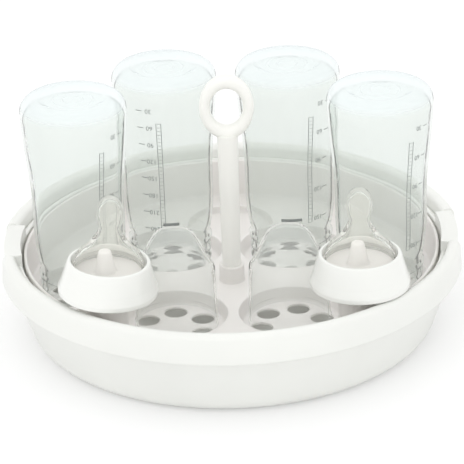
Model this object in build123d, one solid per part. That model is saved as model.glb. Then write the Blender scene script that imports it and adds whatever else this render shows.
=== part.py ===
from build123d import *
import math
import os

# Microwave steriliser with its basket, feeding bottles, hoods and teats.
# Millimetres.  Origin on the floor under the middle of the bowl, +Z up,
# +X to the right and +Y away from the person who lifts the basket out.

# Bowl: a round dish with a rolled rim and two flat lands for the lid's latches.
rim_outer_radius = 142.7
rim_height = 59.7
band_height = 19.7
band_overhang = 5.9
band_lean = 1.1
band_corner_radius = 2.5
bead_radius = 4.0
groove_width = 0.9
groove_depth = 10.2
ridge_radius = 1.6
ridge_drop = 7.7
lip_thickness = 5.5
lip_undercut = 2.0
side_lean = 9.3
foot_corner_radius = 12.0
bowl_wall = 3.0
land_cut_depth = 3.1
land_drop = 1.2
land_half_angle = 9.6

# Rests inside the bowl that carry the basket.
rest_reach = 4.5
rest_width = 12.0
rest_depth = 9.0
rest_nose = 2.0
rest_angles = (40.0, 90.0, 140.0, 220.0, 270.0, 320.0)

# Basket: a shallow tray that drops into the bowl's mouth.
basket_clearance = 1.6
basket_lean = 0.9
basket_depth = 25.0
basket_wall = 2.0
basket_floor_thickness = 2.0
rest_gap = 0.3

# Feeding bottles, which set the size and the spacing of the wells that they stand in.
bottle_height = 134.2
bottle_glass = 2.4
bottle_neck_radius = 24.4
bottle_neck_height = 17.6
bottle_bead_reach = 2.0
bottle_bead_width = 1.8
bottle_bead_slope = 0.6
bottle_chest_radius = 28.0
bottle_chest_height = 45.0
bottle_shoulder_bow = 0.9
bottle_hip_radius = 28.4
bottle_hip_height = 78.0
bottle_waist_bow = -0.2
bottle_heel_radius = 32.4
bottle_heel_corner = 8.0
bottle_belly_bow = 0.6
bottle_punt_radius = 17.0
bottle_punt_depth = 2.4
bottle_base = 5.5
bottle_gap = 4.25

# Wells, with their drain holes, and the round seat at the back.
well_play = 3.6
well_flare = 2.0
well_depth = 8.5
well_wall = 1.8
well_gap = 1.4
front_side_gap = 2.5
front_pair_gap = 3.0
back_pair_gap = 7.4
well_rim_gap = 2.2
drain_radius = 7.0
drain_circle_radius = 19.3
drain_count = 6
drain_turn = 30.0
drain_turn_front_right = 16.0
back_seat_y = 83.0
back_seat_radius = 27.0
back_seat_depth = 5.0

# Where the bottles and hoods really stand, as far as their play in the wells lets them shift.
side_bottle_shift = 3.7
back_bottle_shift = (0.7, 0.6)
hood_shift = (-0.9, 3.6)

# Windows round the pegs, each crossed by the rib that carries its peg.
window_inner_radius = 58.0
window_rim_gap = 4.2
window_first_angle = 20.0
window_last_angle = 64.0
window_well_margin = 1.2
window_peg_margin = 2.0
peg_rib_width = 9.0
peg_tab_width = 14.4

# Boss and the handle that is pushed into it.
boss_wall = 2.3
boss_height = 11.0
post_foot_radius = 5.5
post_foot_depth = 9.5
post_radius_low = 5.7
post_radius_high = 6.4
handle_height = 116.0
ring_half_width = 16.6
ring_half_height = 20.5
ring_band_width = 6.6
ring_band_height = 7.9
ring_depth = 9.0
ring_edge_radius = 3.0

# Hoods stand open end down in the two front wells.
hood_play = 4.4
hood_wall = 1.6
hood_lip_height = 2.8
hood_lip_step = 0.7
hood_draft = 0.7
hood_shoulder_height = 37.0
hood_shoulder_step = 1.4
hood_shoulder_rise = 2.5
hood_top_radius = 15.0
hood_top_round = 3.0
hood_top_rise = 4.0
hood_height = 60.0

# Teats, and the collars that hold them, hung over the pegs.
teat_dome_radius = 21.7
teat_wall = 1.9
teat_flange_thickness = 1.9
teat_flange_reach = 2.5
teat_base_height = 3.0
teat_cone_radius = 12.2
teat_cone_height = 15.1
teat_dome_bow = 1.15
teat_neck_radius = 6.6
teat_neck_height = 24.1
teat_neck_bow = -1.2
teat_bulb_radius = 8.2
teat_bulb_height = 35.5
teat_tip_bow = 2.3
teat_tip_flat = 1.6
teat_height = 44.8
collar_opening_gap = 0.7
collar_lip_width = 2.2
collar_flare = 5.1
collar_height = 20.7
collar_skirt_height = 3.0
collar_step = 1.3
collar_step_height = 4.5
collar_crown_radius = 1.6
collar_wall = 2.2
collar_lip = 4.5
collar_clearance = 0.6
left_set_lean = 4.0
left_set_shift = (1.9, -0.9)
right_set_shift = (1.2, 0.9)

# Pegs that carry the teats.
peg_circle_gap = 17.5
peg_angle = 47.2
peg_radius = 12.0
peg_bore_radius = 10.0
peg_shoulder_inset = 0.3
peg_shoulder_depth = 3.0
peg_shoulder_slope = 10.0
peg_seat_gap = 0.6
peg_tip_radius = 9.0
peg_tip_corner = 4.0
peg_tip_height = 14.0
peg_tip_wall = 2.0

# Sizes that follow from the ones above.
band_low_z = rim_height - band_height
bead_middle_z = rim_height - bead_radius
groove_floor_z = rim_height - groove_depth
ridge_top_z = rim_height - ridge_drop
lip_underside_z = ridge_top_z - lip_thickness
land_top_z = rim_height - land_drop
bead_middle_radius = rim_outer_radius - band_lean - bead_radius
groove_inner_radius = bead_middle_radius - bead_radius - groove_width
bowl_mouth_radius = groove_inner_radius - 2 * ridge_radius
side_radius_high = rim_outer_radius - band_overhang
side_radius_low = side_radius_high - side_lean
land_outer_radius = rim_outer_radius - land_cut_depth

basket_rim_radius = bowl_mouth_radius - basket_clearance
basket_floor_radius = basket_rim_radius - basket_lean
basket_rim_z = ridge_top_z
basket_floor_z = basket_rim_z - basket_depth
basket_under_z = basket_floor_z - basket_floor_thickness

bottle_bead_radius = bottle_neck_radius + bottle_bead_reach
well_floor_radius = bottle_bead_radius + well_play
well_mouth_radius = well_floor_radius + well_flare
cup_radius = well_mouth_radius + well_wall
well_floor_z = basket_floor_z - well_depth
well_under_z = well_floor_z - well_wall
side_well_x = basket_floor_radius - basket_wall - cup_radius - well_rim_gap
back_pitch = max(2 * bottle_heel_radius + bottle_gap, 2 * cup_radius + well_gap)
back_well_x = cup_radius + back_pair_gap / 2
back_well_y = math.sqrt(back_pitch ** 2 - (side_well_x - back_well_x) ** 2)
front_pitch = 2 * cup_radius + front_side_gap
front_well_x = cup_radius + front_pair_gap / 2
front_well_y = -math.sqrt(front_pitch ** 2 - (side_well_x - front_well_x) ** 2)
stand_z = well_floor_z + rest_gap
hood_radius = well_floor_radius - hood_play
seat_floor_z = basket_floor_z - back_seat_depth
window_outer_radius = basket_floor_radius - basket_wall - window_rim_gap

collar_bottom_z = rim_height + collar_clearance
collar_opening_radius = teat_dome_radius + collar_opening_gap
collar_top_radius = collar_opening_radius + collar_lip_width
collar_bottom_radius = collar_top_radius + collar_flare
teat_flange_radius = teat_dome_radius + teat_flange_reach
teat_under_z = collar_bottom_z + collar_height - collar_lip - teat_flange_thickness
peg_x = (basket_floor_radius - peg_circle_gap) * math.cos(math.radians(peg_angle))
peg_y = -(basket_floor_radius - peg_circle_gap) * math.sin(math.radians(peg_angle))
peg_shoulder_radius = teat_dome_radius - peg_shoulder_inset
peg_shoulder_z = teat_under_z - peg_seat_gap
peg_flare_z = peg_shoulder_z - peg_shoulder_depth - peg_shoulder_slope
boss_top_z = basket_floor_z + boss_height
post_foot_z = boss_top_z - post_foot_depth
ring_middle_z = basket_floor_z + handle_height

well_sites = {
    "well_left": (-side_well_x, 0, drain_turn),
    "well_right": (side_well_x, 0, drain_turn),
    "well_back_left": (-back_well_x, back_well_y, drain_turn),
    "well_back_right": (back_well_x, back_well_y, drain_turn),
    "well_front_left": (-front_well_x, front_well_y, drain_turn),
    "well_front_right": (front_well_x, front_well_y, drain_turn_front_right),
}


def at(radius, height):
    return Vector(radius, 0, height)


def arc(middle_radius, middle_z, radius, first, last):
    """A round corner of an outline, with its angles counted from the outward line."""
    spots = []
    for angle in (first, (first + last) / 2, last):
        turn = math.radians(angle)
        spots.append(at(middle_radius + radius * math.cos(turn), middle_z + radius * math.sin(turn)))
    return Edge.make_three_point_arc(*spots)


def bow(first, last, rise):
    """A round stretch between two places, whose middle stands out from the straight line by the rise."""
    start = at(*first)
    end = at(*last)
    along = (end - start).normalized()
    outward = Vector(abs(along.Z), 0, -along.X if along.Z > 0 else along.X)
    return Edge.make_three_point_arc(start, (start + end) / 2 + outward * rise, end)


def turned(*steps):
    """A solid turned from a closed half section of places and round stretches, joined by straight edges."""
    edges = []
    last = None
    for step in steps:
        start, end = (step.position_at(0), step.position_at(1)) if isinstance(step, Edge) else (at(*step),) * 2
        if last is None:
            first = start
        elif (start - last).length > 1e-6:
            edges.append(Edge.make_line(last, start))
        if isinstance(step, Edge):
            edges.append(step)
        last = end
    if (first - last).length > 1e-6:
        edges.append(Edge.make_line(last, first))
    return revolve(make_face(edges), axis=Axis.Z)


def drum(radius, low, high):
    """An upright cylinder between two heights."""
    return Pos(0, 0, low) * Cylinder(radius, high - low, align=(Align.CENTER, Align.CENTER, Align.MIN))


def sector(inner, outer, low, high, middle_angle, half_angle):
    """A block of a ring between two radii and two heights."""
    corners = [at(inner, low), at(outer, low), at(outer, high), at(inner, high)]
    face = Rot(0, 0, middle_angle - half_angle) * make_face(Wire.make_polygon(corners))
    return revolve(face, axis=Axis.Z, revolution_arc=2 * half_angle)


def sideRadius(height):
    """Outside radius of the bowl's sloping side at a height."""
    slope = side_lean / (band_low_z - foot_corner_radius)
    return side_radius_low + (height - foot_corner_radius) * slope


def makeRest():
    """A bracket on the bowl's side, tapering down into it, that the basket's floor rests on."""
    top = basket_under_z - rest_gap
    foot = top - rest_depth
    inner = basket_floor_radius - rest_reach
    middle_of_wall = bowl_wall / 2
    corners = [
        at(inner, top),
        at(sideRadius(top) - middle_of_wall, top),
        at(sideRadius(foot) - middle_of_wall, foot),
        at(inner, top - rest_nose),
    ]
    return extrude(make_face(Wire.make_polygon(corners)), amount=rest_width / 2, both=True)


def makeBowl():
    foot_middle = side_radius_low - foot_corner_radius
    lip_back_z = lip_underside_z - lip_undercut
    bowl = turned(
        (0, 0),
        arc(foot_middle, foot_corner_radius, foot_corner_radius, -90, 0),
        (side_radius_high, band_low_z),
        arc(rim_outer_radius - band_corner_radius, band_low_z + band_corner_radius, band_corner_radius, -90, 0),
        arc(bead_middle_radius, bead_middle_z, bead_radius, 0, 180),
        (bead_middle_radius - bead_radius, groove_floor_z),
        (groove_inner_radius, groove_floor_z),
        arc(groove_inner_radius - ridge_radius, ridge_top_z - ridge_radius, ridge_radius, 0, 180),
        (bowl_mouth_radius, lip_underside_z),
        (sideRadius(lip_back_z) - bowl_wall, lip_back_z),
        arc(foot_middle, foot_corner_radius, foot_corner_radius - bowl_wall, 0, -90),
        (0, bowl_wall),
    )
    past_rim = rim_outer_radius + 5
    over_rim = rim_height + 5
    for side in (0, 180):
        bowl -= sector(land_outer_radius, past_rim, band_low_z - 1, over_rim, side, land_half_angle)
        bowl -= sector(bowl_mouth_radius - 2, past_rim, land_top_z, over_rim, side, land_half_angle)
        bowl += sector(bowl_mouth_radius, land_outer_radius, lip_underside_z, land_top_z, side, land_half_angle)
    rest = makeRest()
    for angle in rest_angles:
        bowl += Rot(0, 0, angle) * rest
    return bowl


def makeWellForm():
    """The outside of a well's cup, filled, which the tray and the back seat are cut to meet."""
    return turned(
        (0, well_under_z),
        (well_floor_radius + well_wall, well_under_z),
        (cup_radius, basket_under_z),
        (cup_radius, basket_floor_z),
        (0, basket_floor_z),
    )


def makeWell(turn):
    """A flared cup with a ring of drain holes in its floor."""
    over = basket_floor_z + 1
    hollow = turned(
        (0, well_floor_z),
        (well_floor_radius, well_floor_z),
        (well_mouth_radius, basket_floor_z),
        (well_mouth_radius, over),
        (0, over),
    )
    well = makeWellForm() - hollow
    drain = Pos(drain_circle_radius, 0, 0) * drum(drain_radius, well_under_z - 1, well_floor_z + 1)
    for step in range(drain_count):
        well -= Rot(0, 0, turn + 360 * step / drain_count) * drain
    return well


def atWells(shape):
    """The shape once at each well."""
    return [Pos(x, y, 0) * shape for x, y, turn in well_sites.values()]


def makeBackSeat():
    """The shallow round seat at the back, bitten into by the two wells beside it."""
    middle = Pos(0, back_seat_y, 0)
    seat = middle * drum(back_seat_radius + well_wall, seat_floor_z - well_wall, basket_floor_z)
    seat -= middle * drum(back_seat_radius, seat_floor_z, basket_floor_z + 1)
    return seat - atWells(makeWellForm())


def makeWindow(side):
    """The open area round a peg, between the wells and the basket's wall."""
    middle = (window_first_angle + window_last_angle) / 2
    half = (window_last_angle - window_first_angle) / 2
    facing = -middle if side > 0 else 180 + middle
    low = basket_under_z - 1
    high = basket_floor_z + 1
    tall = 2 * high
    window = sector(window_inner_radius, window_outer_radius, low, high, facing, half)
    window -= atWells(Cylinder(cup_radius + window_well_margin, 2 * tall))
    peg_place = Pos(side * peg_x, peg_y, 0)
    window -= peg_place * Cylinder(peg_radius + window_peg_margin, 2 * tall)
    reach = math.hypot(peg_x, peg_y)
    outward = math.degrees(math.atan2(peg_y, side * peg_x))
    rib = Box(reach, peg_rib_width, 2 * tall, align=(Align.MAX, Align.CENTER, Align.CENTER))
    tab = Box(peg_circle_gap, peg_tab_width, 2 * tall, align=(Align.MIN, Align.CENTER, Align.CENTER))
    return window - peg_place * Rot(0, 0, outward) * (rib + tab)


def makeBasket():
    """The tray: wall, floor with the places of the wells and pegs cut out, and the boss for the post."""
    rim_roll = basket_wall / 2
    basket = turned(
        (0, basket_under_z),
        (basket_floor_radius, basket_under_z),
        arc(basket_rim_radius - rim_roll, basket_rim_z - rim_roll, rim_roll, 0, 180),
        (basket_floor_radius - basket_wall, basket_floor_z),
        (0, basket_floor_z),
    )
    basket -= atWells(makeWellForm())
    basket -= Pos(0, back_seat_y, 0) * drum(back_seat_radius + well_wall, basket_under_z - 1, basket_floor_z + 1)
    basket += drum(post_foot_radius + boss_wall, basket_under_z, boss_top_z)
    for side in (-1, 1):
        basket -= makeWindow(side)
        basket -= Pos(side * peg_x, peg_y, 0) * drum(peg_radius, basket_under_z - 1, basket_floor_z + 1)
    return basket - drum(post_foot_radius, post_foot_z, boss_top_z + 1)


def makePeg():
    """The hollow stem of a peg, moulded up from the basket's floor."""
    bore = drum(peg_bore_radius, basket_under_z - 1, peg_flare_z + 1)
    return drum(peg_radius, basket_under_z, peg_flare_z) - bore


def makePegSeat():
    """The head of a peg: a flare, a shoulder for the teat's flange and a round tip inside the teat."""
    tip_top = peg_shoulder_z + peg_tip_height
    shoulder_low = peg_shoulder_z - peg_shoulder_depth
    inner_tip = peg_tip_radius - peg_tip_wall
    return turned(
        (peg_bore_radius, peg_flare_z),
        (peg_radius, peg_flare_z),
        (peg_shoulder_radius, shoulder_low),
        (peg_shoulder_radius, peg_shoulder_z),
        (peg_tip_radius, peg_shoulder_z),
        arc(peg_tip_radius - peg_tip_corner, tip_top - peg_tip_corner, peg_tip_corner, 0, 90),
        (0, tip_top),
        (0, tip_top - peg_tip_wall),
        (inner_tip, tip_top - 2 * peg_tip_wall),
        (inner_tip, peg_shoulder_z - peg_tip_wall),
        (peg_bore_radius, shoulder_low - peg_shoulder_depth),
    )


def makeHandle():
    """A straight post with an oval finger ring on top."""
    ring_low = ring_middle_z - ring_half_height
    post = turned(
        (0, post_foot_z),
        (post_foot_radius, post_foot_z),
        (post_foot_radius, boss_top_z),
        (post_radius_low, boss_top_z),
        (post_radius_high, ring_low + ring_band_height / 2),
        (0, ring_low + ring_band_height / 2 + 1),
    )
    upright = Plane(origin=(0, ring_depth / 2, ring_middle_z), x_dir=(1, 0, 0), z_dir=(0, -1, 0))
    with BuildPart() as ring:
        with BuildSketch(upright):
            Ellipse(ring_half_width, ring_half_height)
            Ellipse(ring_half_width - ring_band_width, ring_half_height - ring_band_height, mode=Mode.SUBTRACT)
        extrude(amount=ring_depth)
        fillet(ring.edges(), radius=min(ring_edge_radius, 0.45 * ring_band_width))
    return post + ring.part


def makeBottle():
    """A glass bottle, mouth down, with its mouth at height 0."""
    bead_top = bottle_neck_height + bottle_bead_width
    heel_z = bottle_height - bottle_heel_corner
    punt_z = bottle_height - bottle_punt_depth
    inner_top = punt_z - bottle_base
    inner_corner = bottle_heel_corner - bottle_glass
    inner_heel = bottle_heel_radius - bottle_glass - inner_corner
    levels = (
        (bottle_neck_radius, bead_top + bottle_bead_slope),
        (bottle_chest_radius, bottle_chest_height),
        (bottle_hip_radius, bottle_hip_height),
        (bottle_heel_radius, heel_z),
    )
    bows = (bottle_shoulder_bow, bottle_waist_bow, bottle_belly_bow)
    inner_levels = [(radius - bottle_glass, height) for radius, height in levels[:-1]]
    inner_levels.append((bottle_heel_radius - bottle_glass, inner_top - inner_corner))
    side = [bow(low, high, rise) for low, high, rise in zip(levels, levels[1:], bows)]
    inner_side = [bow(high, low, rise) for low, high, rise in zip(inner_levels, inner_levels[1:], bows)]
    return turned(
        (bottle_neck_radius - bottle_glass, 0),
        (bottle_neck_radius, 0),
        (bottle_neck_radius, bottle_neck_height - bottle_bead_slope),
        (bottle_bead_radius, bottle_neck_height),
        (bottle_bead_radius, bead_top),
        *side,
        arc(bottle_heel_radius - bottle_heel_corner, heel_z, bottle_heel_corner, 0, 90),
        (bottle_punt_radius + bottle_punt_depth, bottle_height),
        (bottle_punt_radius, punt_z),
        (0, punt_z),
        (0, inner_top),
        arc(inner_heel, inner_top - inner_corner, inner_corner, 90, 0),
        *inner_side[::-1],
    )


def makeHood():
    """A clear hood, open end down, with its lip at height 0."""
    side = hood_radius - hood_lip_step
    shoulder = side - hood_draft
    crown = shoulder - hood_shoulder_step
    crown_z = hood_shoulder_height + hood_shoulder_rise
    top_z = hood_height - hood_top_rise
    half_wall = hood_wall / 2
    return turned(
        (hood_radius - hood_wall, 0),
        (hood_radius, 0),
        (hood_radius, hood_lip_height),
        (side, hood_lip_height + hood_lip_step),
        (shoulder, hood_shoulder_height),
        (crown, crown_z),
        (hood_top_radius, top_z),
        (hood_top_radius - hood_top_round, hood_height),
        (0, hood_height),
        (0, hood_height - hood_wall),
        (hood_top_radius - hood_top_round - half_wall, hood_height - hood_wall),
        (hood_top_radius - hood_wall, top_z - half_wall),
        (crown - hood_wall, crown_z - half_wall),
        (shoulder - hood_wall, hood_shoulder_height - half_wall),
    )


def makeCollar():
    """A screw collar with a sloping side and a wide opening at its top, its foot at height 0."""
    lip_under = collar_height - collar_lip
    inner_foot = collar_bottom_radius - collar_wall
    crown_middle = collar_top_radius - collar_crown_radius / 2
    return turned(
        (inner_foot, 0),
        (collar_bottom_radius, 0),
        (collar_bottom_radius, collar_skirt_height),
        (collar_bottom_radius - collar_step, collar_skirt_height + collar_step_height),
        (collar_top_radius + collar_crown_radius, lip_under),
        arc(crown_middle, collar_height - collar_crown_radius, collar_crown_radius, 0, 100),
        (collar_opening_radius, collar_height - collar_crown_radius / 2),
        (collar_opening_radius, lip_under),
        (teat_flange_radius + 0.2, lip_under),
        (inner_foot - collar_step, collar_skirt_height + collar_step_height),
    )


def makeTeat():
    """A soft teat, the under side of its flange at height 0."""
    flange = teat_flange_thickness
    wall = teat_wall
    base_z = flange + teat_base_height
    cone_z = flange + teat_cone_height
    neck_z = flange + teat_neck_height
    bulb_z = flange + teat_bulb_height
    tip_z = flange + teat_height
    return turned(
        (teat_dome_radius - wall, 0),
        (teat_flange_radius, 0),
        (teat_flange_radius, flange),
        (teat_dome_radius, flange),
        bow((teat_dome_radius, base_z), (teat_cone_radius, cone_z), teat_dome_bow),
        bow((teat_cone_radius, cone_z), (teat_neck_radius, neck_z), teat_neck_bow),
        bow((teat_bulb_radius, bulb_z), (teat_tip_flat, tip_z), teat_tip_bow),
        (0, tip_z),
        (0, tip_z - wall),
        bow((teat_tip_flat / 2, tip_z - wall), (teat_bulb_radius - wall, bulb_z), teat_tip_bow),
        bow((teat_neck_radius - wall, neck_z), (teat_cone_radius - wall, cone_z - wall / 2), teat_neck_bow),
        bow((teat_cone_radius - wall, cone_z - wall / 2), (teat_dome_radius - wall, base_z - wall / 2), teat_dome_bow),
    )


def main():
    os.makedirs("parts", exist_ok=True)
    pieces = {
        "bowl": makeBowl(),
        "basket": makeBasket(),
        "back_seat": makeBackSeat(),
        "handle": makeHandle(),
    }
    for name, (x, y, turn) in well_sites.items():
        pieces[name] = Pos(x, y, 0) * makeWell(turn)
    bottle = Pos(0, 0, stand_z) * makeBottle()
    hood = Pos(0, 0, stand_z) * makeHood()
    peg = makePeg()
    peg_seat = makePegSeat()
    for name, side in (("left", -1), ("right", 1)):
        back_x = side * (back_well_x + back_bottle_shift[0])
        back_y = back_well_y + back_bottle_shift[1]
        pieces["bottle_" + name] = Pos(side * (side_well_x + side_bottle_shift), 0, 0) * bottle
        pieces["bottle_back_" + name] = Pos(back_x, back_y, 0) * bottle
        hood_place = Pos(side * (front_well_x + hood_shift[0]), front_well_y + hood_shift[1], 0)
        pieces["hood_" + name] = hood_place * hood
        pieces["peg_" + name] = Pos(side * peg_x, peg_y, 0) * peg
        pieces["peg_seat_" + name] = Pos(side * peg_x, peg_y, 0) * peg_seat
    # The left set hangs askew, so its middle is higher by what its low side drops.
    low_side_drop = peg_shoulder_radius * math.sin(math.radians(left_set_lean))
    left_z = peg_shoulder_z + rest_gap + low_side_drop
    left_place = Pos(-peg_x + left_set_shift[0], peg_y + left_set_shift[1], left_z) * Rot(0, left_set_lean, 0)
    right_place = Pos(peg_x + right_set_shift[0], peg_y + right_set_shift[1], teat_under_z)
    collar = Pos(0, 0, collar_bottom_z - teat_under_z) * makeCollar()
    teat = makeTeat()
    for name, place in (("left", left_place), ("right", right_place)):
        pieces["collar_" + name] = place * collar
        pieces["teat_" + name] = place * teat
    for name, shape in pieces.items():
        export_step(shape, "parts/" + name + ".step")
        print(name, round(shape.volume), shape.bounding_box())


main()
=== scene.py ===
import math
import bpy
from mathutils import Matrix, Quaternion, Vector
from mathutils.geometry import interpolate_bezier


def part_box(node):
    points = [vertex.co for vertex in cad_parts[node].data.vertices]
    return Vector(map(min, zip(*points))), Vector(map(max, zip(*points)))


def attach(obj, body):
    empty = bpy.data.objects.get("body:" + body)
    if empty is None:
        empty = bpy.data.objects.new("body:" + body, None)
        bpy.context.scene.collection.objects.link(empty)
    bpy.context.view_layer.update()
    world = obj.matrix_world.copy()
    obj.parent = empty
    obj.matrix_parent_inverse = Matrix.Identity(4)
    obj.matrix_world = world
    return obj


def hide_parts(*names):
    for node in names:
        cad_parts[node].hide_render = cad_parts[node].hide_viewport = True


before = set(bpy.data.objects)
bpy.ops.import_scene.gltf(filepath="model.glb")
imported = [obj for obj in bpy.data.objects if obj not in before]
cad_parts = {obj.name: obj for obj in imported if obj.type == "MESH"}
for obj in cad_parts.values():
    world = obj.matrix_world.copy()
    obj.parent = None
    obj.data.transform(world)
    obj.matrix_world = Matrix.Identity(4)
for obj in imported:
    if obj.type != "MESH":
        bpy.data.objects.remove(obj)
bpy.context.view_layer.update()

mm = 0.001
mergeReach = 0.01 * mm  # points nearer than this become one
seamReach = 0.001 * mm  # the same in the small outlines of blocks and marks
roundSteps = 144  # faces in a full turn of the bowl and the tray
partSteps = 96  # and of the wells, the pegs and the finger ring


# Places of the modelled parts, in millimetres

def nodeCorners(*nodes):
    boxes = [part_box(node) for node in nodes]
    low = [min(box[0][axis] for box in boxes) / mm for axis in range(3)]
    high = [max(box[1][axis] for box in boxes) / mm for axis in range(3)]
    return low, high


def nodeMiddle(*nodes):
    low, high = nodeCorners(*nodes)
    return [(first + last) / 2 for first, last in zip(low, high)]


def nodeRadius(node):  # half of the width along Y
    low, high = nodeCorners(node)
    return (high[1] - low[1]) / 2


# Selecting and finishing

def leaveEdit():
    if bpy.context.object and bpy.context.object.mode != "OBJECT":
        bpy.ops.object.mode_set(mode="OBJECT")


def pick(*pieces):
    leaveEdit()
    bpy.ops.object.select_all(action="DESELECT")
    for piece in pieces:
        piece.select_set(True)
    bpy.context.view_layer.objects.active = pieces[0]


def applyPlace(piece):
    pick(piece)
    bpy.ops.object.transform_apply(location=True, rotation=True, scale=True)


def applyModifier(piece, kind, **settings):
    pick(piece)
    modifier = piece.modifiers.new(kind.title(), kind)
    for name, value in settings.items():
        setattr(modifier, name, value)
    bpy.ops.object.modifier_apply(modifier=modifier.name)


def combine(piece, other, operation):  # DIFFERENCE cuts with the other, UNION joins it on
    applyModifier(piece, "BOOLEAN", operation=operation, object=other, solver="EXACT")
    bpy.data.objects.remove(other)


def joinLoose(pieces):  # one object of pieces that need no common skin
    pick(*pieces)
    bpy.ops.object.join()
    return bpy.context.object


def finishPiece(piece, name, body, material, angle=32):  # an edge under this angle looks round
    applyPlace(piece)
    bpy.ops.object.shade_smooth_by_angle(angle=math.radians(angle))
    piece.name = name
    piece.data.name = name
    piece.data.materials.clear()
    piece.data.materials.append(material)
    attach(piece, body)
    return piece


# Outlines: lists of (radius, height) in millimetres, turned about the upright middle line

def around(radius, height, steps):  # corners placed from one spot by (out, up) or (out, up, rounding)
    return [(radius + step[0], height + step[1], *step[2:]) for step in steps]


def roundCorners(corners, cuts=5):  # a corner is (radius, height) or (radius, height, rounding)
    line = []
    for index, corner in enumerate(corners):
        here = Vector(corner[:2])
        rounding = corner[2] if len(corner) > 2 else 0
        if not rounding:
            line.append(here)
            continue
        toBefore = (Vector(corners[index - 1][:2]) - here).normalized()
        toAfter = (Vector(corners[(index + 1) % len(corners)][:2]) - here).normalized()
        half = toBefore.angle(toAfter) / 2
        reach = rounding / math.tan(half)
        middle = here + (toBefore + toAfter).normalized() * (rounding / math.sin(half))
        first = here + toBefore * reach - middle
        last = here + toAfter * reach - middle
        for step in range(cuts + 1):
            line.append(middle + rounding * first.normalized().slerp(last.normalized(), step / cuts))
    return line


def flowLine(points, cuts=5):  # a smooth line through the points
    spots = [Vector(point) for point in points]
    line = []
    for index in range(len(spots) - 1):
        start, end = spots[index], spots[index + 1]
        before = spots[max(index - 1, 0)]
        after = spots[min(index + 2, len(spots) - 1)]
        handleOut = start + (end - before) / 6
        handleIn = end - (after - start) / 6
        line += interpolate_bezier(start, handleOut, handleIn, end, cuts + 1)[:-1]
    line.append(spots[-1])
    return line


def drawOutline(name, outline, closed):  # leaves the edges of the outline in edit mode
    leaveEdit()
    bpy.ops.object.select_all(action="DESELECT")
    bpy.ops.mesh.primitive_plane_add(size=mm)
    piece = bpy.context.object
    piece.name = name
    bpy.ops.object.mode_set(mode="EDIT")
    bpy.ops.mesh.merge(type="CENTER")
    bpy.ops.transform.translate(value=(outline[0][0] * mm, 0, outline[0][1] * mm))
    for here, there in zip(outline, outline[1:] + outline[:1] * closed):
        step = ((there[0] - here[0]) * mm, 0, (there[1] - here[1]) * mm)
        bpy.ops.mesh.extrude_vertices_move(TRANSFORM_OT_translate={"value": step})
    bpy.ops.mesh.select_all(action="SELECT")
    return piece


def mergeAndFace():  # one point where there are two, and faces outwards
    bpy.ops.mesh.select_all(action="SELECT")
    bpy.ops.mesh.remove_doubles(threshold=mergeReach)
    bpy.ops.mesh.normals_make_consistent(inside=False)
    leaveEdit()


def turnOutline(name, outline, steps=roundSteps):
    closed = outline[0][0] > 0 or outline[-1][0] > 0
    piece = drawOutline(name, outline, closed)
    bpy.ops.mesh.spin(steps=steps, angle=math.tau, center=(0, 0, 0), axis=(0, 0, 1))
    mergeAndFace()
    return piece


def partTurn(name, outline, middleAngle, halfAngle, steps=16):  # part of a turn, in degrees
    block = drawOutline(name, outline, True)
    bpy.ops.mesh.remove_doubles(threshold=seamReach)
    bpy.ops.mesh.select_all(action="SELECT")
    bpy.ops.mesh.edge_face_add()
    bpy.ops.mesh.spin(steps=steps, angle=math.radians(2 * halfAngle), center=(0, 0, 0), axis=(0, 0, 1))
    bpy.ops.mesh.select_all(action="SELECT")
    bpy.ops.mesh.normals_make_consistent(inside=False)
    leaveEdit()
    block.rotation_euler.z = math.radians(middleAngle + halfAngle)  # the spin runs clockwise
    applyPlace(block)
    return block


def ringBlock(inner, outer, low, high, middleAngle, halfAngle, steps=16):
    corners = [(inner, low), (outer, low), (outer, high), (inner, high)]
    return partTurn("ringBlock", corners, middleAngle, halfAngle, steps)


def flatBlock(outline, width, angle=0):  # an outline made thick, standing on the line at this angle
    block = drawOutline("flatBlock", outline, True)
    bpy.ops.mesh.remove_doubles(threshold=seamReach)
    bpy.ops.mesh.select_all(action="SELECT")
    bpy.ops.mesh.edge_face_add()
    bpy.ops.transform.translate(value=(0, -width / 2 * mm, 0))
    bpy.ops.mesh.extrude_region_move(TRANSFORM_OT_translate={"value": (0, width * mm, 0)})
    mergeAndFace()
    block.rotation_euler.z = math.radians(angle)
    applyPlace(block)
    return block


def movePiece(piece, x, y, z=0):
    piece.location = (x * mm, y * mm, z * mm)
    applyPlace(piece)
    return piece


def copyPiece(piece):
    pick(piece)
    bpy.ops.object.duplicate()
    return bpy.context.object


def disc(radius, low, high, x, y, steps=partSteps):
    outline = [(0, low), (radius, low), (radius, high), (0, high)]
    return movePiece(turnOutline("disc", outline, steps=steps), x, y)


# Materials

def linear(code):  # an sRGB hex value as the linear colour that a shader takes
    colour = []
    for index in (1, 3, 5):
        share = int(code[index:index + 2], 16) / 255
        colour.append(share / 12.92 if share <= 0.04045 else ((share + 0.055) / 1.055) ** 2.4)
    return colour + [1]


def newMaterial(name):
    material = bpy.data.materials.new(name)
    material.use_nodes = True
    material.node_tree.nodes.clear()
    return material, material.node_tree


def addNode(tree, kind, settings=None, links=None):
    node = tree.nodes.new("ShaderNode" + kind)
    for name, value in (settings or {}).items():
        if isinstance(name, int) or name in node.inputs:
            node.inputs[name].default_value = value
        else:
            setattr(node, name, value)
    for name, socket in (links or {}).items():
        tree.links.new(socket, node.inputs[name])
    return node


grainSizes = {  # millimetres: the width of each unevenness, and the depth of those that are relief
    "cloud": 60, "peel": 2.2, "peelDepth": 0.05, "ripple": 14, "rippleDepth": 0.3, "inkPatch": 0.8,
}


def grainScale(kind):
    return 1000 / grainSizes[kind]


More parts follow.
